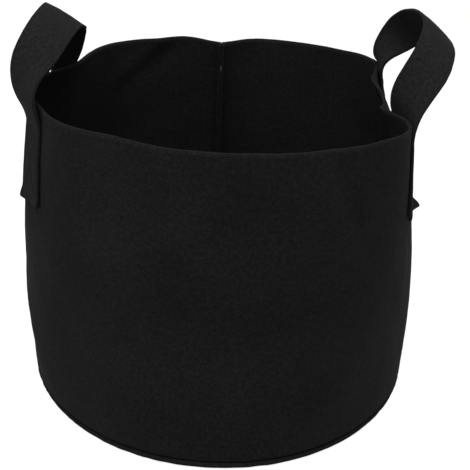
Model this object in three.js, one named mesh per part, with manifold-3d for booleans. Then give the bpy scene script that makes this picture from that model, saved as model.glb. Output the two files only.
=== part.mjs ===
// Fabric grow bag: a round felt pot with two felt strap handles. Millimetres, +Z up.
// The origin is the centre of the base's underside. +X is the side of the right handle, and -Y is the front.
import * as THREE from 'three';
import { mergeVertices } from 'three/addons/utils/BufferGeometryUtils.js';
import Module from 'manifold-3d';

// ---------------------------------------------------------------- driving dimensions
const HEIGHT = 300; // rim above the ground
const BASE_RADIUS = 202; // mean outer radius of the base
const RIM_RADIUS = 207; // outer radius of the rim away from the handles
const FELT = 3; // thickness of the wall and base felt
const SEAM_ALLOWANCE = 8; // felt turned inside past each seam line
const CLEARANCE = 0.3; // gap kept between pieces that lie on each other
const THREAD = 0.8; // thickness of the sewing thread

const BASE_DEPTH_STRETCH = 7; // the base is longer front to back than side to side
const BASE_FRONT_PUSH = 4; // its front is pushed out
const BASE_LEFT_SHIFT = 1.5; // and it sits a little to the left
const SEAM_TUCK = 11; // how far the back seam pulls the rim in
const SEAM_DIP = 4; // and down
const FRONT_WAVE = 9; // a slack wave in the front rim
const LEFT_BELLY = 4; // the left side bellies out at half height

const STRAP_WIDTH = 40;
const STRAP_THICKNESS = 3;
const STRAP_STANDOFF = 0.9; // gap between the wall and a strap's sewn end, which follows the same curves
const SEWN_LENGTH = 92; // strap sewn on the wall below the rim
const HINGE_RISE = 9; // the strap bends this far above the rim
const HINGE_GAP = 9; // bending stretch left clear on each side of that line

const AROUND = 144; // steps around the bag
const UP = 12; // steps up the wall
const CORNER_STEPS = 3;
const STRAP_STEPS = 30; // steps along a handle loop

const SEAM_ANGLE = THREE.MathUtils.degToRad(94);

// Where the rim is pulled in: centre and half width in degrees, depth, and how square the dent is.
const dents = [
  { centre: 2, halfWidth: 31, depth: 57, power: 4 },
  { centre: -21, halfWidth: 4.5, depth: 11, power: 2 },
  { centre: 155, halfWidth: 19, depth: 26, power: 2 },
  { centre: 185, halfWidth: 32, depth: 16, power: 4 },
  { centre: -119, halfWidth: 13, depth: FRONT_WAVE, power: 2 },
];

// Each handle: the azimuths of its two sewn ends in degrees, how far its crest rises above the rim and
// leans towards +X, how late on the way up it leans, the slope of the strap's width at the crest, and
// the share of the twist towards the crest that the strap has already made at each end of its loop.
const handles = {
  left: {
    front: -154, back: 163, rise: 64, lean: 9, leanPower: 2,
    crestSlope: -33, frontTwist: 0.45, backTwist: 0.4,
  },
  right: {
    front: -26.5, back: 31, rise: 63, lean: 41, leanPower: 0.9,
    crestSlope: -40, frontTwist: 0.35, backTwist: 0.1,
  },
};

// ---------------------------------------------------------------- outlines
function angleBetween(a, b) {
  return Math.atan2(Math.sin(a - b), Math.cos(a - b));
}

function dentDepth(angle) {
  let depth = 0;
  for (const dent of dents) {
    const turn = angleBetween(angle, THREE.MathUtils.degToRad(dent.centre));
    const away = Math.abs(THREE.MathUtils.radToDeg(turn));
    depth += dent.depth * Math.exp(-Math.pow(away / dent.halfWidth, dent.power));
  }
  return depth;
}

function seamPull(angle) {
  const halfWidth = THREE.MathUtils.degToRad(7);
  return Math.exp(-Math.pow(angleBetween(angle, SEAM_ANGLE) / halfWidth, 2));
}

function baseRadius(angle) {
  const stretch = BASE_DEPTH_STRETCH * Math.cos(2 * (angle - Math.PI / 2));
  const shift = -BASE_LEFT_SHIFT * Math.cos(angle);
  return BASE_RADIUS + stretch + shift + BASE_FRONT_PUSH * Math.cos(3 * (angle + Math.PI / 2));
}

// Outer radius of the wall: share is 0 at the ground and 1 at the rim.
function wallRadius(angle, share) {
  const belly = LEFT_BELLY * Math.sin(Math.PI * share) * Math.pow(Math.max(0, -Math.cos(angle)), 2);
  const plain = THREE.MathUtils.lerp(baseRadius(angle), RIM_RADIUS, share) + belly;
  const pulledIn = dentDepth(angle) * Math.pow(share, 3) + SEAM_TUCK * seamPull(angle) * Math.pow(share, 1.5);
  return plain - pulledIn;
}

function rimHeight(angle) {
  return HEIGHT - SEAM_DIP * seamPull(angle);
}

function polar(angle, radius, z) {
  return new THREE.Vector3(radius * Math.cos(angle), radius * Math.sin(angle), z);
}

// Horizontal direction out of the wall at an angle and a height share.
function wallNormal(angle, share) {
  const step = 0.004;
  const before = polar(angle - step, wallRadius(angle - step, share), 0);
  const after = polar(angle + step, wallRadius(angle + step, share), 0);
  const along = after.sub(before).normalize();
  return new THREE.Vector3(along.y, -along.x, 0);
}

// A point on the wall: `across` mm along it from an angle, at height z, `out` mm outside its outer face.
function onWall(angle, across, z, out) {
  const share = THREE.MathUtils.clamp(z / HEIGHT, 0, 1);
  const centre = polar(angle, wallRadius(angle, share), z);
  let nearest = angle + across / wallRadius(angle, share);
  for (let turn = 0; turn < 3; turn += 1) {
    const reached = polar(nearest, wallRadius(nearest, share), z).distanceTo(centre);
    nearest = angle + (nearest - angle) * (reached > 0 ? Math.abs(across) / reached : 1);
  }
  const point = polar(nearest, wallRadius(nearest, share), z);
  return point.addScaledVector(wallNormal(nearest, share), out);
}

// ---------------------------------------------------------------- solids from sections
// Joins a row of sections into one closed solid. A section is a list of points round a long thin outline:
// its first half runs along one side and its second half comes back along the other.
function skin(sections) {
  const count = sections[0].length;
  const points = sections.flat();
  const faces = [];
  for (let row = 0; row + 1 < sections.length; row += 1) {
    for (let i = 0; i < count; i += 1) {
      const j = (i + 1) % count;
      faces.push([row * count + i, row * count + j, (row + 1) * count + j]);
      faces.push([row * count + i, (row + 1) * count + j, (row + 1) * count + i]);
    }
  }
  const last = (sections.length - 1) * count;
  for (let i = 0; i + 1 < count / 2; i += 1) {
    const across = count - 1 - i;
    for (const [a, b, c] of [[i, i + 1, across - 1], [i, across - 1, across]]) {
      faces.push([a, c, b]);
      faces.push([last + a, last + b, last + c]);
    }
  }
  return solid(points, faces);
}

// A geometry from points and faces, turned inside out if its volume comes out negative.
function solid(points, faces) {
  let volume = 0;
  for (const [a, b, c] of faces) {
    volume += points[a].dot(new THREE.Vector3().crossVectors(points[b], points[c])) / 6;
  }
  const positions = [];
  for (const [a, b, c] of faces) {
    const order = volume > 0 ? [a, b, c] : [a, c, b];
    for (const index of order) {
      positions.push(points[index].x, points[index].y, points[index].z);
    }
  }
  const geometry = new THREE.BufferGeometry();
  geometry.setAttribute('position', new THREE.Float32BufferAttribute(positions, 3));
  geometry.computeVertexNormals();
  return geometry;
}

const wasm = await Module();
wasm.setup();

function toManifold(geometry) {
  const bare = geometry.clone();
  bare.deleteAttribute('normal');
  bare.deleteAttribute('uv');
  const merged = mergeVertices(bare);
  const vertProperties = new Float32Array(merged.attributes.position.array);
  const triVerts = new Uint32Array(merged.index.array);
  return new wasm.Manifold(new wasm.Mesh({ numProp: 3, vertProperties, triVerts }));
}

function joined(geometries) {
  let whole = toManifold(geometries[0]);
  for (const geometry of geometries.slice(1)) {
    whole = whole.add(toManifold(geometry));
  }
  const mesh = whole.getMesh();
  const geometry = new THREE.BufferGeometry();
  geometry.setAttribute('position', new THREE.Float32BufferAttribute(mesh.vertProperties, 3));
  geometry.setIndex(Array.from(mesh.triVerts));
  geometry.computeVertexNormals();
  return geometry;
}

// ---------------------------------------------------------------- base panel
// A felt disc whose edge rolls up and is turned back inside, under the wall's own turned edge.
const ROLL = FELT + CLEARANCE / 2; // outer radius of the rolled edge
const BASE_TOP = 2 * ROLL; // top of the turned edge
const WALL_FOOT = BASE_TOP + CLEARANCE; // underside of the wall's turned edge

function basePanel() {
  const section = [{ inset: ROLL, z: 0 }];
  for (let i = 1; i < 2 * CORNER_STEPS; i += 1) {
    const turn = (Math.PI * i) / (2 * CORNER_STEPS);
    section.push({ inset: ROLL - ROLL * Math.sin(turn), z: ROLL - ROLL * Math.cos(turn) });
  }
  section.push({ inset: ROLL, z: BASE_TOP });
  section.push({ inset: ROLL + SEAM_ALLOWANCE, z: BASE_TOP });
  section.push({ inset: ROLL + SEAM_ALLOWANCE, z: FELT + CLEARANCE });
  section.push({ inset: ROLL, z: FELT + CLEARANCE });
  section.push({ inset: ROLL, z: FELT });
  const points = [];
  for (let step = 0; step < AROUND; step += 1) {
    const angle = (2 * Math.PI * step) / AROUND;
    for (const { inset, z } of section) {
      points.push(polar(angle, baseRadius(angle) - inset, z));
    }
  }
  const count = section.length;
  const faces = [];
  const underCentre = points.push(new THREE.Vector3(0, 0, 0)) - 1;
  const topCentre = points.push(new THREE.Vector3(0, 0, FELT)) - 1;
  for (let step = 0; step < AROUND; step += 1) {
    const here = step * count;
    const next = ((step + 1) % AROUND) * count;
    for (let i = 0; i + 1 < count; i += 1) {
      faces.push([here + i, next + i, next + i + 1]);
      faces.push([here + i, next + i + 1, here + i + 1]);
    }
    faces.push([underCentre, next, here]);
    faces.push([topCentre, here + count - 1, next + count - 1]);
  }
  return solid(points, faces);
}

// ---------------------------------------------------------------- wall panel
// One felt strip bent round the base. Both ends turn inside at the back seam, and the foot turns inside too.
const SEAM_BEND = FELT + 0.5; // outer radius of the bend into the seam
const FIN_DEPTH = SEAM_BEND + SEAM_ALLOWANCE; // from the outer face in to the raw edge

// Stations along the strip. Each gives its outer face point and the way into the felt at a height share.
function wallStations() {
  const stations = [];
  const half = CLEARANCE / 2;
  function seamStation(side, along, depth, turn) {
    return (share) => {
      const radial = polar(SEAM_ANGLE, 1, 0);
      const sideways = new THREE.Vector3(-radial.y, radial.x, 0).multiplyScalar(side);
      const point = polar(SEAM_ANGLE, wallRadius(SEAM_ANGLE, share) - depth, 0);
      point.addScaledVector(sideways, along);
      const inward = sideways.clone().multiplyScalar(Math.cos(turn)).addScaledVector(radial, -Math.sin(turn));
      return { point, inward, fin: true };
    };
  }
  function bend(side) {
    const list = [seamStation(side, half, FIN_DEPTH, 0)];
    for (let i = 0; i <= CORNER_STEPS; i += 1) {
      const turn = (Math.PI / 2) * (i / CORNER_STEPS);
      const along = half + SEAM_BEND * (1 - Math.cos(turn));
      list.push(seamStation(side, along, SEAM_BEND * (1 - Math.sin(turn)), turn));
    }
    return list;
  }
  stations.push(...bend(1));
  const start = 1.6 * (SEAM_BEND / RIM_RADIUS);
  for (let step = 0; step <= AROUND; step += 1) {
    const angle = SEAM_ANGLE + THREE.MathUtils.lerp(start, 2 * Math.PI - start, step / AROUND);
    stations.push((share) => {
      const inward = wallNormal(angle, share).negate();
      return { point: polar(angle, wallRadius(angle, share), 0), inward, fin: false, angle };
    });
  }
  stations.push(...bend(-1).reverse());
  return stations;
}

function wallPanel() {
  const footCorner = 2; // radius of the bend into the turned edge at the foot
  const sections = [];
  for (const station of wallStations()) {
    const section = [];
    function add(share, depth, z) {
      const { point, inward } = station(share);
      section.push(new THREE.Vector3(point.x, point.y, z).addScaledVector(inward, depth));
    }
    const { fin, angle } = station(0);
    const top = rimHeight(angle ?? SEAM_ANGLE);
    const turned = fin ? FELT + 0.4 : FELT + SEAM_ALLOWANCE;
    add(0, turned, WALL_FOOT);
    add(0, footCorner, WALL_FOOT);
    add(0, footCorner * (1 - Math.SQRT1_2), WALL_FOOT + footCorner * (1 - Math.SQRT1_2));
    for (let row = 0; row <= UP; row += 1) {
      const z = THREE.MathUtils.lerp(WALL_FOOT + FELT, top, row / UP);
      add(row === 0 ? 0 : z / HEIGHT, 0, z);
    }
    for (let row = UP; row >= 0; row -= 1) {
      const z = THREE.MathUtils.lerp(WALL_FOOT + FELT, top, row / UP);
      add(row === 0 ? 0 : z / HEIGHT, FELT, z);
    }
    add(0, turned, WALL_FOOT + FELT);
    sections.push(section);
  }
  return skin(sections);
}

// ---------------------------------------------------------------- seam threads
// The stitching shows as one line of thread along each seam.
function baseSeamThread() {
  const inset = FELT + SEAM_ALLOWANCE / 2;
  const low = WALL_FOOT + FELT + CLEARANCE;
  const sections = [];
  const steps = AROUND;
  const gap = THREE.MathUtils.degToRad(5); // the line starts and ends beside the back seam
  for (let step = 0; step <= steps; step += 1) {
    const angle = SEAM_ANGLE + THREE.MathUtils.lerp(gap, 2 * Math.PI - gap, step / steps);
    const radius = baseRadius(angle) - inset;
    sections.push([
      polar(angle, radius, low),
      polar(angle, radius - THREAD, low),
      polar(angle, radius - THREAD, low + THREAD),
      polar(angle, radius, low + THREAD),
    ]);
  }
  return skin(sections);
}

function backSeamThread() {
  const radial = polar(SEAM_ANGLE, 1, 0);
  const sideways = new THREE.Vector3(-radial.y, radial.x, 0);
  const near = CLEARANCE / 2 + FELT + CLEARANCE;
  const depth = FIN_DEPTH - SEAM_ALLOWANCE / 2;
  const bottom = WALL_FOOT + FELT + 4;
  const top = rimHeight(SEAM_ANGLE) - 2;
  const sections = [];
  for (let row = 0; row <= 2 * UP; row += 1) {
    const z = THREE.MathUtils.lerp(bottom, top, row / (2 * UP));
    const radius = wallRadius(SEAM_ANGLE, z / HEIGHT) - depth;
    const corners = [[near, 0], [near + THREAD, 0], [near + THREAD, -THREAD], [near, -THREAD]];
    sections.push(corners.map(([side, deeper]) => {
      return polar(SEAM_ANGLE, radius + deeper, z).addScaledVector(sideways, side);
    }));
  }
  return skin(sections);
}

// ---------------------------------------------------------------- handles
const SEWN_BOTTOM = HEIGHT - SEWN_LENGTH;
const HINGE_HEIGHT = HEIGHT + HINGE_RISE;
const LEG_OUT = STRAP_STANDOFF + STRAP_THICKNESS; // outer face of a sewn leg above the wall's outer face

// The sewn end of a strap, which lies on the outside of the wall from its raw end up to the rim.
function strapLeg(azimuth) {
  const angle = THREE.MathUtils.degToRad(azimuth);
  const columns = 6;
  const rows = 8;
  const sections = [];
  for (let row = 0; row <= rows; row += 1) {
    const z = THREE.MathUtils.lerp(SEWN_BOTTOM, HINGE_HEIGHT - HINGE_GAP, row / rows);
    const section = [];
    for (let column = 0; column <= columns; column += 1) {
      const across = THREE.MathUtils.lerp(-STRAP_WIDTH / 2, STRAP_WIDTH / 2, column / columns);
      section.push(onWall(angle, across, z, STRAP_STANDOFF));
    }
    for (let column = columns; column >= 0; column -= 1) {
      const across = THREE.MathUtils.lerp(-STRAP_WIDTH / 2, STRAP_WIDTH / 2, column / columns);
      section.push(onWall(angle, across, z, LEG_OUT));
    }
    sections.push(section);
  }
  return skin(sections);
}

// A box with a cross in it, sewn through a leg: one thread line outside the strap.
function boxStitch(azimuth) {
  const angle = THREE.MathUtils.degToRad(azimuth);
  const half = STRAP_WIDTH / 2 - 5;
  const low = SEWN_BOTTOM + 6;
  const high = HEIGHT - 12;
  const corners = [[-half, low], [half, low], [half, high], [-half, high]];
  const lines = [[0, 1], [1, 2], [2, 3], [3, 0], [0, 2], [1, 3]];
  const bars = lines.map(([from, to]) => {
    const [x0, z0] = corners[from];
    const [x1, z1] = corners[to];
    const length = Math.hypot(x1 - x0, z1 - z0);
    const sideX = (-(z1 - z0) / length) * (THREAD / 2);
    const sideZ = ((x1 - x0) / length) * (THREAD / 2);
    const steps = 5;
    const overrun = THREAD / 2 / length;
    const sections = [];
    for (let step = 0; step <= steps; step += 1) {
      const t = THREE.MathUtils.lerp(-overrun, 1 + overrun, step / steps);
      const x = THREE.MathUtils.lerp(x0, x1, t);
      const z = THREE.MathUtils.lerp(z0, z1, t);
      const out = LEG_OUT + CLEARANCE + THREAD / 4;
      sections.push([
        onWall(angle, x + sideX, z + sideZ, out),
        onWall(angle, x - sideX, z - sideZ, out),
        onWall(angle, x - sideX, z - sideZ, out + THREAD),
        onWall(angle, x + sideX, z + sideZ, out + THREAD),
      ]);
    }
    return skin(sections);
  });
  return joined(bars);
}

// Where a strap leaves the wall: the middle of its thickness at the hinge height.
function strapExit(azimuth) {
  const angle = THREE.MathUtils.degToRad(azimuth);
  const point = onWall(angle, 0, HEIGHT, STRAP_STANDOFF + STRAP_THICKNESS / 2);
  point.z = HINGE_HEIGHT;
  return point;
}

// The free loop. It starts and ends one hinge gap above the hinge line, and it twists on the way,
// so that the strap lies across the hand at the crest.
function strapLoop(handle) {
  const front = strapExit(handle.front);
  const back = strapExit(handle.back);
  const slope = THREE.MathUtils.degToRad(handle.crestSlope);
  const crestWidth = new THREE.Vector3(Math.cos(slope), 0, Math.sin(slope));
  const bottom = HINGE_HEIGHT + HINGE_GAP;
  function legWidth(azimuth, towardsBack) {
    const normal = wallNormal(THREE.MathUtils.degToRad(azimuth), 1);
    const width = new THREE.Vector3(normal.y, -normal.x, 0);
    return width.y * towardsBack < 0 ? width.negate() : width;
  }
  const frontWidth = legWidth(handle.front, -1);
  const backWidth = legWidth(handle.back, -Math.sign(front.x));
  function centre(u) {
    const lift = Math.sin(Math.PI * u);
    const point = new THREE.Vector3().lerpVectors(front, back, (1 - Math.cos(Math.PI * u)) / 2);
    point.x += handle.lean * Math.pow(lift, handle.leanPower);
    point.z = bottom + (handle.rise - HINGE_RISE - HINGE_GAP) * Math.pow(lift, 0.8);
    return point;
  }
  const sections = [];
  for (let step = 0; step <= STRAP_STEPS; step += 1) {
    const u = step / STRAP_STEPS;
    const delta = 0.002;
    const along = centre(Math.min(u + delta, 1)).sub(centre(Math.max(u - delta, 0))).normalize();
    const end = u < 0.5 ? frontWidth : backWidth;
    const exitTwist = u < 0.5 ? handle.frontTwist : handle.backTwist;
    const twist = THREE.MathUtils.lerp(exitTwist, 1, Math.sin(Math.PI * u));
    const width = end.clone().lerp(crestWidth, twist).normalize();
    width.addScaledVector(along, -width.dot(along)).normalize();
    const face = new THREE.Vector3().crossVectors(along, width);
    const corners = [[-1, -1], [1, -1], [1, 1], [-1, 1]];
    const middle = centre(u);
    sections.push(corners.map(([w, n]) => {
      const corner = middle.clone().addScaledVector(width, (w * STRAP_WIDTH) / 2);
      return corner.addScaledVector(face, (n * STRAP_THICKNESS) / 2);
    }));
  }
  return skin(sections);
}

// ---------------------------------------------------------------- assembly
const group = new THREE.Group();

function add(name, geometry, color, roughness) {
  const material = new THREE.MeshStandardMaterial({ color, roughness, metalness: 0 });
  const mesh = new THREE.Mesh(geometry, material);
  mesh.name = name;
  group.add(mesh);
}

const FELT_COLOR = 0x1d1d1e;
const STRAP_COLOR = 0x232324;
const THREAD_COLOR = 0x151516;

add('base_panel', basePanel(), FELT_COLOR, 0.95);
add('wall_panel', wallPanel(), FELT_COLOR, 0.95);
add('base_seam_thread', baseSeamThread(), THREAD_COLOR, 0.7);
add('back_seam_thread', backSeamThread(), THREAD_COLOR, 0.7);
for (const [side, handle] of Object.entries(handles)) {
  for (const end of ['front', 'back']) {
    add(`${side}_strap_${end}_leg`, strapLeg(handle[end]), STRAP_COLOR, 0.9);
    add(`${side}_strap_${end}_stitching`, boxStitch(handle[end]), THREAD_COLOR, 0.7);
  }
  add(`${side}_strap_loop`, strapLoop(handle), STRAP_COLOR, 0.9);
}

export default group;
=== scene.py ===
"""Fabric grow bag: a round needle-felt pot with two felt strap handles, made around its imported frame.

Metres, +Z up. The origin is the centre of the base's underside, +X is the right handle's side, -Y the front.
"""

import math

import bmesh
import bpy
from bpy.props import FloatProperty, FloatVectorProperty, PointerProperty
from mathutils import Matrix, Vector, noise


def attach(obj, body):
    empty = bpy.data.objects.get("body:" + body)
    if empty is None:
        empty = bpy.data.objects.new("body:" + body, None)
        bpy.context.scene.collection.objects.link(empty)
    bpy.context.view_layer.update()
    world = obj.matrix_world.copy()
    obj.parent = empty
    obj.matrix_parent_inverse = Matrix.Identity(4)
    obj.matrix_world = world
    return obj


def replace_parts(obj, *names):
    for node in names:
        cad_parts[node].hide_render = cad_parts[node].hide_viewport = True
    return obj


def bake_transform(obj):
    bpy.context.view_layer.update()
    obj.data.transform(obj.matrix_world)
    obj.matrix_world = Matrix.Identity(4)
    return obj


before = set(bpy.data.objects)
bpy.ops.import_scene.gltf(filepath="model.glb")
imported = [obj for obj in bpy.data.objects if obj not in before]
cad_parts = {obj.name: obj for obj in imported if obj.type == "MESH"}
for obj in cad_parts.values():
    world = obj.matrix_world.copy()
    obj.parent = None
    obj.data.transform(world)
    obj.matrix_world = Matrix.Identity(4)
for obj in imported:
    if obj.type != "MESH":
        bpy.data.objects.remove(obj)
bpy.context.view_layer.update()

bl_info = {
    "name": "Fabric Grow Bag",
    "version": (1, 0, 0),
    "blender": (4, 5, 0),
    "location": "View3D > Sidebar > Grow Bag",
    "description": "Sews a round felt grow bag with two strap handles around its packed frame",
    "category": "Object",
}

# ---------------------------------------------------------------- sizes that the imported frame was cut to
HEIGHT = 0.300  # rim above the ground
BASE_RADIUS = 0.202  # mean outer radius of the base
RIM_RADIUS = 0.207  # outer radius of the rim away from the handles
FELT = 0.003  # thickness of the wall and base felt
SEAM_ALLOWANCE = 0.008  # felt turned inside past each seam line
CLEARANCE = 0.0003  # gap between pieces that lie on each other

BASE_DEPTH_STRETCH = 0.007  # the base is longer front to back than side to side
BASE_FRONT_PUSH = 0.004  # its front is pushed out
BASE_LEFT_SHIFT = 0.0015  # and it sits a little to the left
SEAM_TUCK = 0.011  # how far the back seam pulls the rim in
SEAM_DIP = 0.004  # and down
SEAM_REACH = math.radians(7)  # how far round the wall that pull reaches
LEFT_BELLY = 0.004  # the left side bellies out at half height
BACK_RIM_RISE = 0.0012  # the rim is a little higher at the back
SEAM_ANGLE = math.radians(94)

ROLL = FELT + CLEARANCE / 2  # outer radius of the base's rolled edge
BASE_TOP = 2 * ROLL  # top of the base's turned edge
WALL_FOOT = BASE_TOP + CLEARANCE  # underside of the wall's turned edge
FOOT_BEND = 0.0032  # outer radius of the bend into the wall's turned edge
SEAM_BEND = 0.0045  # outer radius of the bend into the back seam
FIN_DEPTH = 0.0115  # from the wall's outer face in to the seam's raw edges
WAVE_DEPTH = 0.0022  # how far the felt's own unevenness moves the wall
PUCKER_HEIGHT = 0.016  # how far up the wall the puckers of the bottom seam fade

STRAP_WIDTH = 0.040
STRAP_THICKNESS = 0.003
SEWN_BOTTOM = HEIGHT - 0.092  # raw ends of the straps
HINGE_HEIGHT = HEIGHT + 0.009  # a strap bends about this height
LOOP_BOTTOM = HINGE_HEIGHT + 0.009  # the free loop starts here
BEND_FROM, BEND_TO = HEIGHT - 0.004, LOOP_BOTTOM + 0.014  # a band of heights about a strap's hinge
STRAP_LYING = 0.00015  # gap between the wall and a sewn strap
STRAP_LEAVING = 0.0009  # the same gap where the strap leaves the wall
BOX_TOP = HEIGHT - 0.022  # the box of stitches ends here, and the strap is free above it
LEAVES_AT = HEIGHT - 0.019
LEG_FULLNESS = 1.7  # how far a strap carries on towards its loop's foot before it turns down to the wall
RIM_PASSING = 0.0035  # height over which a strap stops being held outside the wall, above the rim
SOFT_BEND = 0.012  # height over which the easing of a strap's bends sets in

# Where the rim is pulled in: centre and half width in degrees, depth, and how square the dent is.
DENTS = (
    (2, 31, 0.057, 4),
    (-21, 4.5, 0.011, 2),
    (155, 19, 0.026, 2),
    (185, 32, 0.016, 4),
    (-119, 13, 0.009, 2),
)

# Soft folds in the wall: the azimuth in degrees and the height of its two ends, half width, and how far the
# felt stands in (-) or out (+).
FOLDS = (
    ((-64, 0.292), (-56, 0.228), 0.007, -0.0016),
    ((-71, 0.285), (-64, 0.240), 0.012, 0.0012),
    ((113, 0.300), (128, 0.262), 0.009, -0.0018),
    ((106, 0.300), (116, 0.270), 0.010, 0.0015),
    ((-158, 0.292), (-158, 0.212), 0.022, 0.0034),
    ((-165, 0.175), (-165, 0.105), 0.035, -0.0014),
    ((-168, 0.085), (-150, 0.040), 0.018, 0.0024),
    ((-20, 0.275), (-20, 0.215), 0.025, 0.0015),
    ((-12, 0.165), (-12, 0.115), 0.030, -0.0014),
    ((-34, 0.120), (-22, 0.060), 0.014, -0.0012),
)

# Each handle: the azimuths of its two sewn ends in degrees, how far its crest rises above the rim and leans
# towards +X, how late on the way up it leans, the slope of the strap's width at the crest, the share of the
# twist already made at each end of its loop, how far the loop's foot at the front stands out towards +X, and
# how far the two corners of each raw end lift off the wall.
HANDLES = {
    "left": {
        "front": -151, "back": 163, "rise": 0.064, "lean": 0.009, "lean_power": 2, "crest_slope": -33,
        "front_twist": 0.3, "back_twist": 0.4, "foot_out": -0.0085,
        "front_lift": (0.0012, 0.0026), "back_lift": (0.001, 0.0014),
    },
    "right": {
        "front": -26.5, "back": 31, "rise": 0.063, "lean": 0.038, "lean_power": 0.9, "crest_slope": -40,
        "front_twist": 0.5, "back_twist": 0.35, "foot_out": 0.003,
        "front_lift": (0.0085, 0.0012), "back_lift": (0.0012, 0.001),
    },
}
FOOT_REACH = 0.15  # share of the loop that its foot reaches over
SOFTENING_PASSES = 14
LOOP_PART = (0.06, 0.975)  # the part of the loop that is made; a curve joins each of its ends to the sewn strap

# ---------------------------------------------------------------- how finely the felt is divided
WALL_AROUND = 264
WALL_UP = 74
BASE_AROUND = 240
BASE_RINGS = 34
BEND_STEPS = 4
STRAP_ACROSS = 28
LEG_ROWS = 52
LEAVING_ROWS = 26
LOOP_ROWS = 96
STITCH_SIDES = 6
STITCH_CUTS = 3

# ---------------------------------------------------------------- stage
CAMERA_PLACE = (0.011, -1.0506, 0.588)
CAMERA_DOWN = math.radians(23.05)
CAMERA_ROLL = math.radians(2.41)
CAMERA_LENS = 84.56


# ---------------------------------------------------------------- settings
class FeltSettings(bpy.types.PropertyGroup):
    body_colour: FloatVectorProperty(
        name="Body colour", description="Colour of the wall and base felt", subtype="COLOR", size=3,
        min=0, max=1, default=(0.0047, 0.0047, 0.0048),
    )
    strap_colour: FloatVectorProperty(
        name="Strap colour", description="Colour of the handle straps", subtype="COLOR", size=3,
        min=0, max=1, default=(0.0060, 0.0060, 0.0061),
    )
    # Paler than the body felt: partly the fuzzier fibres of a cut edge, partly a painted sheen for the light
    # those fibres catch.
    edge_colour_and_painted_sheen: FloatVectorProperty(
        name="Cut edge colour", description="Colour of the fluffy cut edges", subtype="COLOR", size=3,
        min=0, max=1, default=(0.0135, 0.0135, 0.0137),
    )
    fold_strength: FloatProperty(
        name="Folds", description="How deep the soft folds and waves of the wall are", default=1.0,
        min=0, max=3,
    )
    pucker: FloatProperty(
        name="Pucker", description="How far the felt puckers along the bottom seam", default=0.0007, min=0,
        max=0.004, subtype="DISTANCE", unit="LENGTH",
    )


class StitchSettings(bpy.types.PropertyGroup):
    thread: FloatProperty(
        name="Thread", description="Thickness of the sewing thread", default=0.0008, min=0.0002, max=0.002,
        subtype="DISTANCE", unit="LENGTH",
    )
    pitch: FloatProperty(
        name="Stitch length", description="Distance from one needle hole to the next", default=0.0036,
        min=0.002, max=0.01, subtype="DISTANCE", unit="LENGTH",
    )
    colour: FloatVectorProperty(
        name="Thread colour", description="Colour of the sewing thread", subtype="COLOR", size=3,
        min=0, max=1, default=(0.0036, 0.0036, 0.0037),
    )
    margin: FloatProperty(
        name="Margin", description="Distance from a strap's edges in to its box of stitches", default=0.005,
        min=0.002, max=0.012, subtype="DISTANCE", unit="LENGTH",
    )


class StageSettings(bpy.types.PropertyGroup):
    floor_colour: FloatVectorProperty(
        name="Floor colour", description="Colour of the plain floor", subtype="COLOR", size=3,
        min=0, max=1, default=(0.15, 0.15, 0.15),
    )
    floor_glow: FloatProperty(
        name="Floor glow", description="Light given off by the floor, as a light table does", default=0.84,
        min=0, max=2,
    )
    sky: FloatProperty(
        name="Sky", description="Strength of the even light from all round", default=0.62, min=0, max=3,
    )
    key_power: FloatProperty(
        name="Key light", description="Power of the large soft light high on the left", default=20, min=0,
        max=500, subtype="POWER", unit="POWER",
    )
    top_power: FloatProperty(
        name="Top light", description="Power of the large soft light overhead", default=140, min=0, max=500,
        subtype="POWER", unit="POWER",
    )
    fill_power: FloatProperty(
        name="Fill light", description="Power of the low soft light on the left", default=6, min=0, max=500,
        subtype="POWER", unit="POWER",
    )
    floor_size: FloatProperty(
        name="Floor size", description="Length of the floor's sides", default=40, min=2, max=60,
        subtype="DISTANCE", unit="LENGTH",
    )


# ---------------------------------------------------------------- outlines of the bag
def lerp(a, b, share):
    return a + (b - a) * share


def ease(share):
    share = min(max(share, 0.0), 1.0)
    return share * share * (3 - 2 * share)


def turn_between(a, b):
    return math.atan2(math.sin(a - b), math.cos(a - b))


def dent_depth(angle):
    depth = 0.0
    for centre, half_width, deepest, power in DENTS:
        away = abs(math.degrees(turn_between(angle, math.radians(centre))))
        depth += deepest * math.exp(-((away / half_width) ** power))
    return depth


def seam_pull(angle):
    return math.exp(-((turn_between(angle, SEAM_ANGLE) / SEAM_REACH) ** 2))


def base_radius(angle):
    stretch = BASE_DEPTH_STRETCH * math.cos(2 * (angle - math.pi / 2))
    shift = -BASE_LEFT_SHIFT * math.cos(angle)
    return BASE_RADIUS + stretch + shift + BASE_FRONT_PUSH * math.cos(3 * (angle + math.pi / 2))


def fold_depth(angle, z):
    """How far the wall's soft folds push it out."""
    out = 0.0
    for (angle_0, z_0), (angle_1, z_1), half_width, height in FOLDS:
        along_0 = math.degrees(turn_between(angle, math.radians(angle_0))) / 180 * math.pi * RIM_RADIUS
        run = (angle_1 - angle_0) / 180 * math.pi * RIM_RADIUS
        fall = z_1 - z_0
        length = math.hypot(run, fall)
        along = (along_0 * run + (z - z_0) * fall) / length
        across = (along_0 * fall - (z - z_0) * run) / length
        past = max(-along, along - length, 0)
        out += height * math.exp(-((across / half_width) ** 2) - (past / (2 * half_width)) ** 2)
    return out


def slow_waves(angle, z):
    """The felt's own unevenness: waves as long as a hand, with shorter ones on them. Between -1 and 1."""
    place = Vector((math.cos(angle), math.sin(angle), z / BASE_RADIUS))
    long_wave = noise.noise(place * 1.9 + Vector((3.1, 0.4, 7.7)))
    short_wave = noise.noise(place * 5.5 + Vector((9.2, 4.4, 1.3)))
    return 0.72 * long_wave + 0.28 * short_wave


def foot_puckers(angle):
    place = Vector((math.cos(angle), math.sin(angle), 0.0)) * 17.0
    return noise.noise(place) + 0.45 * noise.noise(place * 2.3)


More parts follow.
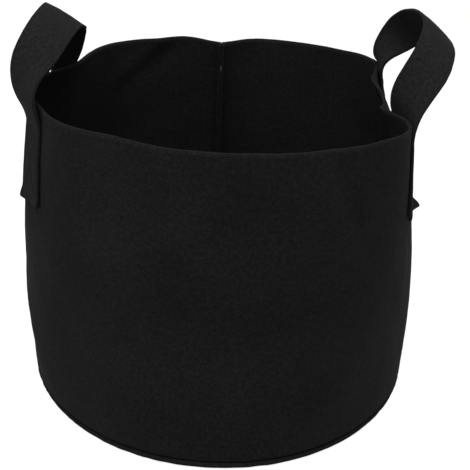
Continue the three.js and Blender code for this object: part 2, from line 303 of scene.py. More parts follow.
def wall_radius(angle, z):
    """Outer radius of the wall at an azimuth and a height."""
    felt = bpy.context.scene.growbag_felt
    share = min(max(z / HEIGHT, 0.0), 1.0)
    belly = LEFT_BELLY * math.sin(math.pi * share) * max(0.0, -math.cos(angle)) ** 2
    plain = lerp(base_radius(angle), RIM_RADIUS, share) + belly
    pulled_in = dent_depth(angle) * share**3 + SEAM_TUCK * seam_pull(angle) * share**1.5
    off_seam = 1 - seam_pull(angle)
    uneven = WAVE_DEPTH * slow_waves(angle, z) * ease(share / 0.2) * off_seam
    folds = fold_depth(angle, z) * felt.fold_strength * off_seam
    pucker = felt.pucker * foot_puckers(angle) * math.exp(-z / PUCKER_HEIGHT)
    return plain - pulled_in + uneven * felt.fold_strength + folds + pucker


def rim_height(angle):
    """The rim isn't quite level: it is higher at the back, dips at the seam and was cut by hand."""
    uneven = 0.0007 * noise.noise(Vector((math.cos(angle), math.sin(angle), 0.0)) * 6.0)
    return HEIGHT - 0.0007 + BACK_RIM_RISE * max(0.0, math.sin(angle)) - SEAM_DIP * seam_pull(angle) + uneven


def polar(angle, radius, z):
    return Vector((radius * math.cos(angle), radius * math.sin(angle), z))


def wall_normal(angle, z):
    """Horizontal direction out of the wall."""
    step = 0.006
    before = polar(angle - step, wall_radius(angle - step, z), 0)
    along = (polar(angle + step, wall_radius(angle + step, z), 0) - before).normalized()
    return Vector((along.y, -along.x, 0))


def on_wall(angle, across, z, out):
    """A point `across` along the wall from an azimuth, at height z, `out` from its outer face."""
    start = polar(angle, wall_radius(angle, z), z)
    nearest = angle + across / wall_radius(angle, z)
    for _ in range(2):
        reached = (polar(nearest, wall_radius(nearest, z), z) - start).length
        nearest = angle + (nearest - angle) * (abs(across) / reached if reached > 0 else 1)
    return polar(nearest, wall_radius(nearest, z), z) + wall_normal(nearest, z) * out


# ---------------------------------------------------------------- making felt
def only(piece):
    """Selects one object and makes it the active one."""
    bpy.ops.object.select_all(action="DESELECT")
    piece.select_set(True)
    bpy.context.view_layer.objects.active = piece


def flat_felt(name, columns, rows):
    """A flat grid of felt, one unit wide and high, with its row and column kept for laying it out."""
    bpy.ops.object.select_all(action="DESELECT")
    bpy.ops.mesh.primitive_grid_add(x_subdivisions=columns, y_subdivisions=rows, size=1, calc_uvs=True)
    felt = bpy.context.object
    felt.name = felt.data.name = name
    return felt


def lay_out(felt, points, flat):
    """Moves the grid's vertices to points[row][column], and keeps where each lies in the flat felt."""
    rows, columns = len(points), len(points[0])
    place = felt.data.attributes.new("felt_place", "FLOAT_VECTOR", "POINT")
    for vertex in felt.data.vertices:
        column = round((vertex.co.x + 0.5) * (columns - 1))
        row = round((vertex.co.y + 0.5) * (rows - 1))
        vertex.co = points[row][column]
        place.data[vertex.index].vector = (*flat[row][column], 0.0)
    felt.data.update()


def thicken(felt, thickness, corner):
    """Gives laid-out felt its thickness, with a second material on its cut edges, which are rounded over."""
    count = len(felt.data.vertices)
    only(felt)
    solidify = felt.modifiers.new("thickness", "SOLIDIFY")
    solidify.thickness = thickness
    solidify.offset = 0
    solidify.use_even_offset = True
    solidify.material_offset_rim = 1
    bpy.ops.object.modifier_apply(modifier=solidify.name)
    place = felt.data.attributes["felt_place"]
    for index in range(count, len(felt.data.vertices)):
        x, y, _ = place.data[index].vector
        place.data[index].vector = (x, y, thickness)

    bpy.ops.object.mode_set(mode="EDIT")
    bpy.ops.mesh.select_mode(type="EDGE")
    bpy.ops.mesh.select_all(action="DESELECT")
    mesh = bmesh.from_edit_mesh(felt.data)
    for edge in mesh.edges:
        kinds = {face.material_index for face in edge.link_faces}
        edge.select_set(len(kinds) == 2)
    bmesh.update_edit_mesh(felt.data)
    bpy.ops.mesh.bevel(offset=corner, segments=2, profile=0.55, affect="EDGES", clamp_overlap=True)
    bpy.ops.mesh.select_all(action="SELECT")
    bpy.ops.mesh.normals_make_consistent(inside=False)
    bpy.ops.object.mode_set(mode="OBJECT")
    bpy.ops.object.shade_smooth()


def ruffle(felt, height, scale):
    """Moves every vertex a little along its normal, so that no face of the felt is quite smooth."""
    normals = [vertex.normal.copy() for vertex in felt.data.vertices]
    place = felt.data.attributes["felt_place"]
    for vertex, normal in zip(felt.data.vertices, normals):
        vertex.co += normal * height * noise.noise(Vector(place.data[vertex.index].vector) * scale)
    felt.data.update()


def lengths_along(points):
    """Running length along a row of points."""
    lengths = [0.0]
    for before, after in zip(points, points[1:]):
        lengths.append(lengths[-1] + (after - before).length)
    return lengths


# ---------------------------------------------------------------- materials
def add_node(tree, kind, place, **values):
    made = tree.nodes.new(kind)
    made.location = place
    for name, value in values.items():
        setattr(made, name, value)
    return made


def set_inputs(node, **values):
    for name, value in values.items():
        node.inputs[name.replace("_", " ")].default_value = value
    return node


def new_material(name):
    material = bpy.data.materials.new(name)
    material.use_nodes = True
    tree = material.node_tree
    shader = tree.nodes["Principled BSDF"]
    return material, tree, shader


def ramp(tree, place, source, stops):
    """A colour ramp of greys: stops are (position, grey)."""
    node = add_node(tree, "ShaderNodeValToRGB", place)
    for _ in range(len(stops) - 2):
        node.color_ramp.elements.new(0.5)
    for element, (position, grey) in zip(node.color_ramp.elements, stops):
        element.position = position
        element.color = (grey, grey, grey, 1)
    tree.links.new(source, node.inputs["Fac"])
    return node.outputs["Color"]


def times(tree, place, first, second):
    """Two colours multiplied."""
    node = add_node(tree, "ShaderNodeMix", place, data_type="RGBA", blend_type="MULTIPLY")
    node.inputs["Factor"].default_value = 1.0
    for socket, value in ((node.inputs[6], first), (node.inputs[7], second)):
        if isinstance(value, bpy.types.NodeSocket):
            tree.links.new(value, socket)
        else:
            socket.default_value = (*value, 1)
    return node.outputs[2]


def felt_material(name, colour, fluff):
    """Needle felt: matted fibres with tufts, stray lint and slow cloudy patches. `fluff` raises the nap."""
    material, tree, shader = new_material(name)
    place = add_node(tree, "ShaderNodeAttribute", (-1800, 0), attribute_name="felt_place").outputs["Vector"]

    def noise_of(position, vector, scale, detail, rough, distortion=0.0):
        node = add_node(tree, "ShaderNodeTexNoise", position)
        set_inputs(node, Scale=scale, Detail=detail, Roughness=rough, Distortion=distortion)
        tree.links.new(vector, node.inputs["Vector"])
        return node

    bend = noise_of((-1600, -300), place, 420, 2, 0.6)
    swirl = add_node(tree, "ShaderNodeVectorMath", (-1400, -300), operation="MULTIPLY_ADD")
    tree.links.new(bend.outputs["Color"], swirl.inputs[0])
    swirl.inputs[1].default_value = (0.0035, 0.0035, 0.0035)
    tree.links.new(place, swirl.inputs[2])

    clouds = noise_of((-1200, 500), place, 16, 3, 0.55)
    tufts = noise_of((-1200, 200), place, 300, 6, 0.72, 0.5)
    nap = noise_of((-1200, -100), place, 900, 4, 0.7, 1.5)
    fibres = add_node(tree, "ShaderNodeTexVoronoi", (-1200, -400), feature="DISTANCE_TO_EDGE")
    set_inputs(fibres, Scale=620)
    tree.links.new(swirl.outputs["Vector"], fibres.inputs["Vector"])
    lint = add_node(tree, "ShaderNodeTexVoronoi", (-1200, -700), feature="F1")
    set_inputs(lint, Scale=150, Randomness=1.0)
    tree.links.new(swirl.outputs["Vector"], lint.inputs["Vector"])

    shade = ramp(tree, (-900, 500), clouds.outputs["Fac"], ((0.30, 0.86), (0.70, 1.16)))
    tufted = ramp(tree, (-900, 200), tufts.outputs["Fac"], ((0.32, 0.58), (0.50, 0.95), (0.70, 1.55)))
    fine = ramp(tree, (-900, -100), nap.outputs["Fac"], ((0.30, 0.72), (0.72, 1.32)))
    strands = ramp(tree, (-900, -400), fibres.outputs["Distance"], ((0.0, 1.55), (0.10, 1.0)))
    specks = ramp(tree, (-900, -700), lint.outputs["Distance"], ((0.0, 2.1), (0.09, 1.0)))
    mixed = times(tree, (-600, 300), shade, tufted)
    mixed = times(tree, (-450, 200), mixed, fine)
    mixed = times(tree, (-300, 100), mixed, strands)
    mixed = times(tree, (-150, 0), mixed, specks)
    mixed = times(tree, (0, -50), mixed, colour)
    tree.links.new(mixed, shader.inputs["Base Color"])

    height = add_node(tree, "ShaderNodeMath", (-600, -500), operation="MULTIPLY_ADD")
    tree.links.new(tufts.outputs["Fac"], height.inputs[0])
    height.inputs[1].default_value = 1.6
    tree.links.new(fine, height.inputs[2])
    raised = add_node(tree, "ShaderNodeBump", (-300, -500))
    set_inputs(raised, Strength=0.55, Distance=0.0007 * fluff)
    tree.links.new(height.outputs["Value"], raised.inputs["Height"])
    tree.links.new(raised.outputs["Normal"], shader.inputs["Normal"])

    rough = add_node(tree, "ShaderNodeMapRange", (-300, -250))
    set_inputs(rough, From_Min=0.3, From_Max=0.7, To_Min=0.97, To_Max=0.86)
    tree.links.new(tufts.outputs["Fac"], rough.inputs["Value"])
    tree.links.new(rough.outputs["Result"], shader.inputs["Roughness"])
    shader.inputs["Specular IOR Level"].default_value = 0.02
    shader.inputs["Sheen Weight"].default_value = 0.012 * fluff
    shader.inputs["Sheen Roughness"].default_value = 0.55
    shader.inputs["Sheen Tint"].default_value = (0.62, 0.62, 0.64, 1)
    return material


def thread_material(name, colour):
    """Twisted polyester thread."""
    material, tree, shader = new_material(name)
    place = add_node(tree, "ShaderNodeTexCoord", (-1200, 0)).outputs["Object"]
    twist = add_node(tree, "ShaderNodeTexWave", (-950, 150), wave_type="BANDS", bands_direction="DIAGONAL")
    set_inputs(twist, Scale=900, Distortion=2.0, Detail=2.0)
    tree.links.new(place, twist.inputs["Vector"])
    wear = add_node(tree, "ShaderNodeTexNoise", (-950, -150))
    set_inputs(wear, Scale=300, Detail=3)
    tree.links.new(place, wear.inputs["Vector"])
    strands = ramp(tree, (-700, 150), twist.outputs["Color"], ((0.2, 0.65), (0.8, 1.5)))
    faded = ramp(tree, (-700, -150), wear.outputs["Fac"], ((0.3, 0.75), (0.7, 1.4)))
    mixed = times(tree, (-400, 100), strands, faded)
    mixed = times(tree, (-200, 100), mixed, colour)
    tree.links.new(mixed, shader.inputs["Base Color"])
    raised = add_node(tree, "ShaderNodeBump", (-400, -250))
    set_inputs(raised, Strength=0.6, Distance=0.0001)
    tree.links.new(twist.outputs["Color"], raised.inputs["Height"])
    tree.links.new(raised.outputs["Normal"], shader.inputs["Normal"])
    shader.inputs["Roughness"].default_value = 0.6
    shader.inputs["Specular IOR Level"].default_value = 0.05
    return material


def named_material(name, make, *values):
    """The material of that name, made the first time it is asked for."""
    return bpy.data.materials.get(name) or make(name, *values)


def dress_felt(piece, colour, name):
    """Felt on the faces, and on the cut edges a paler felt: partly their fuzzier fibres, partly a painted sheen
    where those fibres catch the light.
    """
    felt = bpy.context.scene.growbag_felt
    piece.data.materials.clear()
    piece.data.materials.append(named_material(name, felt_material, tuple(colour), 1.0))
    # The cut edges' paler colour is partly painted sheen, for the light their loose fibres catch.
    edge = named_material("felt_cut_edge_and_painted_sheen", felt_material, tuple(felt.edge_colour_and_painted_sheen), 1.6)
    piece.data.materials.append(edge)


# ---------------------------------------------------------------- wall
def seam_station(side, along, depth, turn):
    """A place on the outer face of one of the two felt ends that meet in the back seam."""
    radial = polar(SEAM_ANGLE, 1, 0)
    sideways = Vector((-radial.y, radial.x, 0)) * side

    def at(z):
        point = polar(SEAM_ANGLE, wall_radius(SEAM_ANGLE, z) - depth, 0) + sideways * along
        return point, sideways * math.cos(turn) - radial * math.sin(turn)

    return at


def wall_stations():
    """Stations along the strip from raw end to raw end. Each gives, for a height, the point on the outer face
    and the way into the felt, and says whether it lies in the seam, and at which azimuth."""
    def seam_end(side):
        half = CLEARANCE / 2
        places = [seam_station(side, half, lerp(FIN_DEPTH, SEAM_BEND, step / 3), 0) for step in range(3)]
        for step in range(BEND_STEPS + 1):
            turn = math.pi / 2 * step / BEND_STEPS
            out = SEAM_BEND * (1 - math.cos(turn))
            places.append(seam_station(side, half + out, SEAM_BEND * (1 - math.sin(turn)), turn))
        return [(place, True, SEAM_ANGLE) for place in places]

    def wall_station(angle):
        return lambda z: (polar(angle, wall_radius(angle, z), 0), -wall_normal(angle, z))

    start = 1.45 * SEAM_BEND / RIM_RADIUS
    middle = []
    for step in range(WALL_AROUND + 1):
        angle = SEAM_ANGLE + lerp(start, 2 * math.pi - start, step / WALL_AROUND)
        middle.append((wall_station(angle), False, angle))
    return seam_end(1) + middle + seam_end(-1)[::-1]


def wall_rows(in_seam, angle):
    """Heights and depths up one station, from the turned edge inside the foot round its bend to the rim."""
    bend = FOOT_BEND - FELT / 2
    turned = FOOT_BEND + 0.0006 if in_seam else FELT + SEAM_ALLOWANCE
    rows = [(lerp(turned, FOOT_BEND, step / 3), WALL_FOOT + FELT / 2) for step in range(3)]
    for step in range(BEND_STEPS + 1):
        turn = math.pi / 2 * step / BEND_STEPS
        rows.append((FOOT_BEND - bend * math.sin(turn), WALL_FOOT + FOOT_BEND - bend * math.cos(turn)))
    low = WALL_FOOT + FOOT_BEND
    for step in range(1, WALL_UP + 1):
        rows.append((FELT / 2, lerp(low, rim_height(angle), step / WALL_UP)))
    return rows


class GROWBAG_OT_wall(bpy.types.Operator):
    """Wraps the wall's felt strip round the base and turns its ends into the back seam"""
    bl_idname = "growbag.wall"
    bl_label = "Wall"

    def execute(self, context):
        felt = context.scene.growbag_felt
        columns = []
        for station, in_seam, angle in wall_stations():
            column = []
            for depth, z in wall_rows(in_seam, angle):
                point, inward = station(z)
                point = point + inward * depth
                column.append(Vector((point.x, point.y, z)))
            columns.append(column)
        points = [list(row) for row in zip(*columns)]
        along = lengths_along(points[len(points) // 2])
        flat = []
        for row, _ in enumerate(points):
            flat.append([(along[i], lengths_along(columns[i][: row + 1])[-1]) for i in range(len(columns))])
        wall = flat_felt("wall", len(columns) - 1, len(points) - 1)
        lay_out(wall, points, flat)
        thicken(wall, FELT, 0.0009)
        ruffle(wall, 0.00022, 90)
        dress_felt(wall, felt.body_colour, "needled_body_felt")
        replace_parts(wall, "wall_panel")
        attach(wall, "bag")
        return {"FINISHED"}


# ---------------------------------------------------------------- base
class GROWBAG_OT_base(bpy.types.Operator):
    """Cuts the round base, rolls its edge up and turns it inside under the wall"""
    bl_idname = "growbag.base"
    bl_label = "Base"

    def execute(self, context):
        felt = context.scene.growbag_felt
        bend = ROLL - FELT / 2
        points, flat = [], []
        for step in range(BASE_AROUND + 1):
            angle = 2 * math.pi * step / BASE_AROUND
            edge = base_radius(angle) + felt.pucker * foot_puckers(angle)
            across = [(edge - ROLL) * ((i + 0.35) / BASE_RINGS) for i in range(BASE_RINGS)]
            row = [(radius, FELT / 2) for radius in across]
            for i in range(2 * BEND_STEPS + 1):
                turn = math.pi * i / (2 * BEND_STEPS)
                row.append((edge - ROLL + bend * math.sin(turn), ROLL - bend * math.cos(turn)))
            for i in range(1, 4):
                row.append((edge - ROLL - SEAM_ALLOWANCE * i / 3, ROLL + bend))
            line = [polar(angle, radius, z) for radius, z in row]
            points.append(line)
            out = lengths_along([Vector((0, 0, FELT / 2))] + line)[1:]
            flat.append([(length * math.cos(angle), length * math.sin(angle)) for length in out])
        base = flat_felt("base", len(points[0]) - 1, len(points) - 1)
        lay_out(base, points, flat)
        only(base)
        bpy.ops.object.mode_set(mode="EDIT")
        bpy.ops.mesh.select_all(action="SELECT")
        bpy.ops.mesh.remove_doubles(threshold=0.00001)
        bpy.ops.mesh.select_all(action="DESELECT")
        bpy.ops.mesh.select_mode(type="EDGE")
        mesh = bmesh.from_edit_mesh(base.data)
        middle = (base_radius(0) - ROLL) / BASE_RINGS
        for edge in mesh.edges:
            near = all(vertex.co.xy.length < middle for vertex in edge.verts)
            edge.select_set(edge.is_boundary and near)
        bmesh.update_edit_mesh(base.data)
        bpy.ops.mesh.edge_face_add()
        bpy.ops.mesh.poke()
        bpy.ops.object.mode_set(mode="OBJECT")
        thicken(base, FELT, 0.0008)
        dress_felt(base, felt.body_colour, "needled_body_felt")
        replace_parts(base, "base_panel")
        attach(base, "bag")
        return {"FINISHED"}


# ---------------------------------------------------------------- handles
def strap_exit(azimuth):
    """Where a strap leaves the wall: the middle of its thickness at the hinge's height."""
    point = on_wall(math.radians(azimuth), 0, HEIGHT, STRAP_LEAVING + STRAP_THICKNESS / 2)
    return Vector((point.x, point.y, HINGE_HEIGHT))


def box_lines(margin):
    """The box of stitches with a cross in it on a sewn strap end, as lines of (across, height)."""
    half = STRAP_WIDTH / 2 - margin
    low, high = SEWN_BOTTOM + margin + 0.001, BOX_TOP
    corners = [(-half, low), (half, low), (half, high), (-half, high)]
    return [(corners[a], corners[b]) for a, b in ((0, 1), (1, 2), (2, 3), (3, 0), (0, 2), (1, 3))]


def stitch_press(across, z, lines):
    """How deep the stitches press the felt in at a place on a sewn strap end, from 0 to 1."""
    nearest = 1.0
    for (x_0, z_0), (x_1, z_1) in lines:
        run, rise = x_1 - x_0, z_1 - z_0
        along = ((across - x_0) * run + (z - z_0) * rise) / (run * run + rise * rise)
        along = min(max(along, 0.0), 1.0)
        nearest = min(nearest, math.hypot(across - x_0 - along * run, z - z_0 - along * rise))
    return math.exp(-((nearest / 0.0022) ** 2))


def leg_row(azimuth, z, lift, lines, facing):
    """One row of the middle of a sewn strap end's thickness, across the strap."""
    angle = math.radians(azimuth)
    leaving = ease((z - HEIGHT + 0.02) / 0.025)
    lying = lerp(STRAP_LYING, STRAP_LEAVING, leaving)
    row = []
    for column in range(STRAP_ACROSS + 1):
        across = lerp(-0.5, 0.5, column / STRAP_ACROSS) * STRAP_WIDTH * facing
        out = lying + STRAP_THICKNESS / 2
        above_end = z - SEWN_BOTTOM
        side = 0.5 + across / STRAP_WIDTH
        corner = lift[0] * ease((side - 0.55) / 0.45) + lift[1] * ease((0.45 - side) / 0.45)
        out += corner * math.exp(-((above_end / 0.0075) ** 2))
        out += 0.0005 * (1 - stitch_press(across, z, lines)) * (1 - leaving)
        row.append(on_wall(angle, across, z, out))
    return row


def loop_row(handle, u, ends):
    """One row of the free loop, at a share u of the way from its front end to its back end."""
    front, back, front_width, back_width = ends
    slope = math.radians(handle["crest_slope"])
    crest_width = Vector((math.cos(slope), 0, math.sin(slope)))

    def centre(share):
        lift = math.sin(math.pi * share)
        point = front.lerp(back, (1 - math.cos(math.pi * share)) / 2)
        point.x += handle["lean"] * lift ** handle["lean_power"]
        point.x += handle["foot_out"] * math.exp(-((share / FOOT_REACH) ** 2))
        point.z = LOOP_BOTTOM + (handle["rise"] - (LOOP_BOTTOM - HEIGHT)) * lift**0.8
        return point

    step = 0.002
    along = (centre(min(u + step, 1)) - centre(max(u - step, 0))).normalized()
    end, end_width = ("front", front_width) if u < 0.5 else ("back", back_width)
    twist = lerp(handle[end + "_twist"], 1, math.sin(math.pi * u))
    width = end_width.lerp(crest_width, twist)
    width = (width - along * width.dot(along)).normalized()
    face = along.cross(width)
    row = []
    for column in range(STRAP_ACROSS + 1):
        across = lerp(-0.5, 0.5, column / STRAP_ACROSS)
        cupped = 0.0016 * (across * across * 4 - 0.33) * math.sin(math.pi * u) ** 0.5
        wave = 0.0006 * noise.noise(Vector((u * 9, across * 1.4, front.x * 40)))
        row.append(centre(u) + width * across * STRAP_WIDTH + face * (cupped + wave))
    return row


def curve(start, end, way_on, share):
    """A place on the smooth curve that leaves `start` straight up and reaches `end` heading `way_on`."""
    reach = (end - start).length
    bend = Vector((0, 0, reach)) * (share * (1 - share) ** 2)
    bend -= way_on.normalized() * LEG_FULLNESS * reach * (share**2 * (1 - share))
    return start.lerp(end, ease(share)) + bend


def clear_of_wall(point):
    """Moves a point of the strap's middle outwards until the strap clears the wall, below the rim."""
    angle = math.atan2(point.y, point.x)
    nearest = wall_radius(angle, point.z) + STRAP_THICKNESS / 2 + STRAP_LYING
    short = nearest - point.xy.length
    if short <= 0 or point.z > rim_height(angle) + RIM_PASSING:
        return point
    return point + polar(angle, short, 0) * (1 - ease((point.z - rim_height(angle)) / RIM_PASSING))


def strap_points(handle, margin):
    """Rows across the whole strap: up one sewn end, round the free loop and down the other sewn end."""
    side = math.copysign(1, math.cos(math.radians(handle["front"])))
    lines = box_lines(margin)

    def leg_width(azimuth, towards):
        normal = wall_normal(math.radians(azimuth), HEIGHT)
        width = Vector((normal.y, -normal.x, 0))
        return -width if width.y * towards < 0 else width

    front_width, back_width = leg_width(handle["front"], -1), leg_width(handle["back"], -side)
    ends = (strap_exit(handle["front"]), strap_exit(handle["back"]), front_width, back_width)

    def leg(name, width, u):
        azimuth = handle[name]
        normal = wall_normal(math.radians(azimuth), HEIGHT)
        facing = math.copysign(1, width.dot(Vector((-normal.y, normal.x, 0))))
        rows = []
        for step in range(LEG_ROWS + 1):
            z = lerp(SEWN_BOTTOM, LEAVES_AT, step / LEG_ROWS)
            rows.append(leg_row(azimuth, z, handle[name + "_lift"], lines, facing))
        further = u + 0.01 if u < 0.5 else u - 0.01
        last, first, second = rows[-1], loop_row(handle, u, ends), loop_row(handle, further, ends)
        for step in range(1, LEAVING_ROWS + 1):
            share = step / (LEAVING_ROWS + 1)
            rows.append([clear_of_wall(curve(a, b, c - b, share)) for a, b, c in zip(last, first, second)])
        return rows

    rows = leg("front", front_width, LOOP_PART[0])
    rows += [loop_row(handle, lerp(*LOOP_PART, step / LOOP_ROWS), ends) for step in range(LOOP_ROWS + 1)]
    rows += leg("back", back_width, LOOP_PART[1])[::-1]
    return rows


def soften(rows, passes):
    """Eases the bends of the free part of a strap, and leaves its sewn ends on the wall."""
    for _ in range(passes):
        before = [list(row) for row in rows]
        for i in range(1, len(rows) - 1):
            for column, point in enumerate(before[i]):
                share = 0.5 * ease((point.z - LEAVES_AT) / SOFT_BEND)
                middle = (before[i - 1][column] + before[i + 1][column]) / 2
                rows[i][column] = clear_of_wall(point.lerp(middle, share))
    return rows


class GROWBAG_OT_straps(bpy.types.Operator):
    """Cuts the two handle straps and sews their ends on the wall"""
    bl_idname = "growbag.straps"
    bl_label = "Handle straps"

    def execute(self, context):
        felt = context.scene.growbag_felt
        margin = context.scene.growbag_stitch.margin
        for side, handle in HANDLES.items():
            points = soften(strap_points(handle, margin), SOFTENING_PASSES)
            middle = STRAP_ACROSS // 2
            along = lengths_along([row[middle] for row in points])
            flat = []
            for length in along:
                flat.append([(length, STRAP_WIDTH * i / STRAP_ACROSS) for i in range(STRAP_ACROSS + 1)])
            strap = flat_felt(side + "_strap", STRAP_ACROSS, len(points) - 1)
            lay_out(strap, points, flat)
            thicken(strap, STRAP_THICKNESS, 0.0008)
            ruffle(strap, 0.0002, 120)
            dress_felt(strap, felt.strap_colour, "needled_strap_felt")
            nodes = [f"{side}_strap_front_leg", f"{side}_strap_back_leg", f"{side}_strap_loop"]
            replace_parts(strap, *nodes)
            hinge = strap_exit(handle["front"])
            start, end = hinge.copy(), hinge.copy()
            start.z, end.z = BEND_FROM, BEND_TO
            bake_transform(strap)
        return {"FINISHED"}


# ---------------------------------------------------------------- stitches
def stitch_shape(length, thread):
    """One stitch: a short thread, arched so that both its ends dip into the felt."""
    bpy.ops.object.select_all(action="DESELECT")
    bpy.ops.mesh.primitive_cylinder_add(vertices=STITCH_SIDES, radius=thread / 2, depth=length,
                                        rotation=(0, math.pi / 2, 0))
    stitch = bpy.context.object
    bpy.ops.object.transform_apply(location=True, rotation=True, scale=True)
    bpy.ops.object.mode_set(mode="EDIT")
    bpy.ops.mesh.select_mode(type="EDGE")
    bpy.ops.mesh.select_all(action="DESELECT")
    mesh = bmesh.from_edit_mesh(stitch.data)
    for edge in mesh.edges:
        first, second = edge.verts
        edge.select_set(abs(first.co.x - second.co.x) > length / 2)
    bmesh.update_edit_mesh(stitch.data)
    bpy.ops.mesh.subdivide(number_cuts=STITCH_CUTS)
    bpy.ops.object.mode_set(mode="OBJECT")
    for vertex in stitch.data.vertices:
        out = abs(2 * vertex.co.x / length)
        slim = 1 - 0.25 * out**2
        vertex.co.y *= slim
        vertex.co.z = vertex.co.z * slim - thread * 1.1 * out**2.4
    bpy.ops.object.shade_smooth()
    return stitch


def sew(name, runs, settings):
    """Copies one stitch along each run, a row of (point, normal) spaced a stitch apart."""
    stitch = stitch_shape(settings.pitch * 0.9, settings.thread)
    sewn = bmesh.new()
    for run in runs:
        for (start, normal_0), (end, normal_1) in zip(run, run[1:]):
            along = (end - start).normalized()
            up = (normal_0 + normal_1).normalized()
            up = (up - along * up.dot(along)).normalized()
            turn = Matrix((along, up.cross(along), up)).transposed().to_4x4()
            copy = stitch.data.copy()
            copy.transform(Matrix.Translation((start + end) / 2 + up * settings.thread * 0.2) @ turn)
            sewn.from_mesh(copy)
            bpy.data.meshes.remove(copy)
    mesh = bpy.data.meshes.new(name)
    sewn.to_mesh(mesh)
    sewn.free()
    bpy.data.objects.remove(stitch)
    row = bpy.data.objects.new(name, mesh)
    bpy.context.scene.collection.objects.link(row)
    only(row)
    bpy.ops.object.shade_smooth()
    mesh.materials.append(named_material("sewing_thread", thread_material, tuple(settings.colour)))
    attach(row, "bag")
    return row


def evenly(length, pitch):
    """Shares from 0 to 1 that divide a length into stitches as near to the pitch as fits."""
    count = max(2, round(length / pitch))
    return [step / count for step in range(count + 1)]


class GROWBAG_OT_seam_stitches(bpy.types.Operator):
    """Sews the wall to the base, and the wall's two ends together at the back"""
    bl_idname = "growbag.seam_stitches"
    bl_label = "Seam stitches"

    def execute(self, context):
        settings = context.scene.growbag_stitch
        up = Vector((0, 0, 1))
        gap = math.radians(5)
        run = []
        for share in evenly(2 * math.pi * BASE_RADIUS, settings.pitch):
            angle = SEAM_ANGLE + lerp(gap, 2 * math.pi - gap, share)
            radius = wall_radius(angle, WALL_FOOT) - FELT - SEAM_ALLOWANCE / 2
            run.append((polar(angle, radius, WALL_FOOT + FELT), up))
        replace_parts(sew("base_seam_stitches", [run], settings), "base_seam_thread")

        radial = polar(SEAM_ANGLE, 1, 0)
        sideways = Vector((-radial.y, radial.x, 0))
        low, high = WALL_FOOT + FELT + 0.006, rim_height(SEAM_ANGLE) - 0.003
        runs = []
        for side in (-1, 1):
            run = []
            for share in evenly(high - low, settings.pitch):
                z = lerp(low, high, share)
                radius = wall_radius(SEAM_ANGLE, z) - FIN_DEPTH + SEAM_ALLOWANCE / 2
                point = polar(SEAM_ANGLE, radius, z) + sideways * side * (CLEARANCE / 2 + FELT)
                run.append((point, sideways * side))
            runs.append(run)
        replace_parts(sew("back_seam_stitches", runs, settings), "back_seam_thread")
        return {"FINISHED"}


class GROWBAG_OT_strap_stitches(bpy.types.Operator):
    """Sews a box with a cross in it through each strap end and the wall"""
    bl_idname = "growbag.strap_stitches"
    bl_label = "Strap stitches"

    def execute(self, context):
        settings = context.scene.growbag_stitch
        for side, handle in HANDLES.items():
            for end in ("front", "back"):
                angle = math.radians(handle[end])
                runs = []
                for face, out in ((1, STRAP_LYING + STRAP_THICKNESS), (-1, -FELT)):
                    for (x_0, z_0), (x_1, z_1) in box_lines(settings.margin):
                        run = []
                        for share in evenly(math.hypot(x_1 - x_0, z_1 - z_0), settings.pitch):
                            across, z = lerp(x_0, x_1, share), lerp(z_0, z_1, share)
                            point = on_wall(angle, across, z, out)
                            normal = (on_wall(angle, across, z, out + 0.001) - point).normalized() * face
                            run.append((point, normal))
                        runs.append(run)
                row = sew(f"{side}_{end}_stitches", runs, settings)
                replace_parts(row, f"{side}_strap_{end}_stitching")
        return {"FINISHED"}


# ---------------------------------------------------------------- stage
def soft_light(name, place, aim, size, power):
    light = bpy.data.lights.new(name, "AREA")
    light.shape = "DISK"
    light.size = size
    light.energy = power
    lamp = bpy.data.objects.new(name, light)
    lamp.location = place
    lamp.rotation_euler = (Vector(aim) - Vector(place)).to_track_quat("-Z", "Y").to_euler()
    bpy.context.scene.collection.objects.link(lamp)


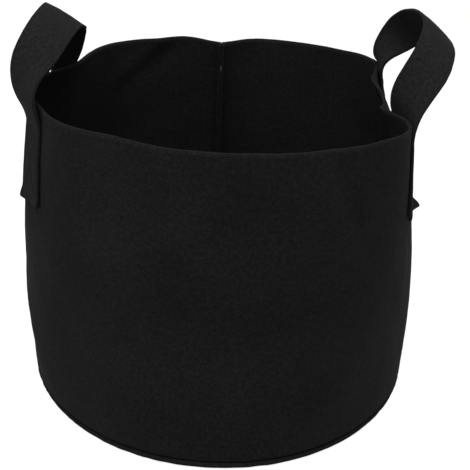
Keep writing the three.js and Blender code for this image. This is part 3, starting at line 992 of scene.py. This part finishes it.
class GROWBAG_OT_stage(bpy.types.Operator):
    """Sets up the camera, the plain pale floor and the soft studio light"""
    bl_idname = "growbag.stage"
    bl_label = "Stage"

    def execute(self, context):
        scene = context.scene
        stage = scene.growbag_stage
        camera = bpy.data.cameras.new("camera")
        camera.lens = CAMERA_LENS
        camera.sensor_width = 36
        holder = bpy.data.objects.new("camera", camera)
        scene.collection.objects.link(holder)
        forward = Vector((0, math.cos(CAMERA_DOWN), -math.sin(CAMERA_DOWN)))
        right = Vector((1, 0, 0))
        up = right.cross(forward)
        across = right * math.cos(CAMERA_ROLL) + up * math.sin(CAMERA_ROLL)
        upward = up * math.cos(CAMERA_ROLL) - right * math.sin(CAMERA_ROLL)
        turn = Matrix((across, upward, -forward)).transposed().to_4x4()
        holder.matrix_world = Matrix.Translation(CAMERA_PLACE) @ turn
        scene.camera = holder

        bpy.ops.object.select_all(action="DESELECT")
        bpy.ops.mesh.primitive_plane_add(size=stage.floor_size, location=(0, 0, -0.0002))
        floor = context.object
        floor.name = "floor"
        bpy.ops.object.transform_apply(location=True, rotation=True, scale=True)
        material, _, shader = new_material("floor")
        shader.inputs["Base Color"].default_value = (*stage.floor_colour, 1)
        shader.inputs["Roughness"].default_value = 1.0
        shader.inputs["Specular IOR Level"].default_value = 0.0
        shader.inputs["Emission Color"].default_value = (1, 1, 1, 1)
        shader.inputs["Emission Strength"].default_value = stage.floor_glow
        floor.data.materials.append(material)

        world = bpy.data.worlds.new("studio")
        world.use_nodes = True
        sky = world.node_tree.nodes["Background"]
        sky.inputs["Color"].default_value = (1, 1, 1, 1)
        sky.inputs["Strength"].default_value = stage.sky
        scene.world = world
        soft_light("key", (-1.7, -1.4, 2.0), (0, 0, 0.15), 1.6, stage.key_power)
        soft_light("top", (0.1, -0.8, 2.7), (0, 0, 0.15), 2.4, stage.top_power)
        soft_light("fill", (-1.8, -0.9, 0.6), (0, 0, 0.15), 1.2, stage.fill_power)
        scene.view_settings.view_transform = "Standard"
        return {"FINISHED"}


# ---------------------------------------------------------------- panel
OPERATORS = (
    GROWBAG_OT_stage,
    GROWBAG_OT_base,
    GROWBAG_OT_wall,
    GROWBAG_OT_straps,
    GROWBAG_OT_seam_stitches,
    GROWBAG_OT_strap_stitches,
)
SETTINGS = (
    ("growbag_felt", FeltSettings),
    ("growbag_stitch", StitchSettings),
    ("growbag_stage", StageSettings),
)


class GROWBAG_PT_panel(bpy.types.Panel):
    """Settings and steps of the grow bag"""
    bl_label = "Grow Bag"
    bl_idname = "GROWBAG_PT_panel"
    bl_space_type = "VIEW_3D"
    bl_region_type = "UI"
    bl_category = "Grow Bag"

    def draw(self, context):
        for name, group in SETTINGS:
            box = self.layout.box()
            for setting in group.__annotations__:
                box.prop(getattr(context.scene, name), setting)
        for operator in OPERATORS:
            self.layout.operator(operator.bl_idname)


def register():
    for name, group in SETTINGS:
        bpy.utils.register_class(group)
        setattr(bpy.types.Scene, name, PointerProperty(type=group))
    for made in (*OPERATORS, GROWBAG_PT_panel):
        bpy.utils.register_class(made)


def unregister():
    for made in reversed((*OPERATORS, GROWBAG_PT_panel)):
        bpy.utils.unregister_class(made)
    for name, group in reversed(SETTINGS):
        delattr(bpy.types.Scene, name)
        bpy.utils.unregister_class(group)


def main():
    register()
    bpy.ops.growbag.stage()
    bpy.ops.growbag.base()
    bpy.ops.growbag.wall()
    bpy.ops.growbag.straps()
    bpy.ops.growbag.seam_stitches()
    bpy.ops.growbag.strap_stitches()


if __name__ == "__main__":
    main()
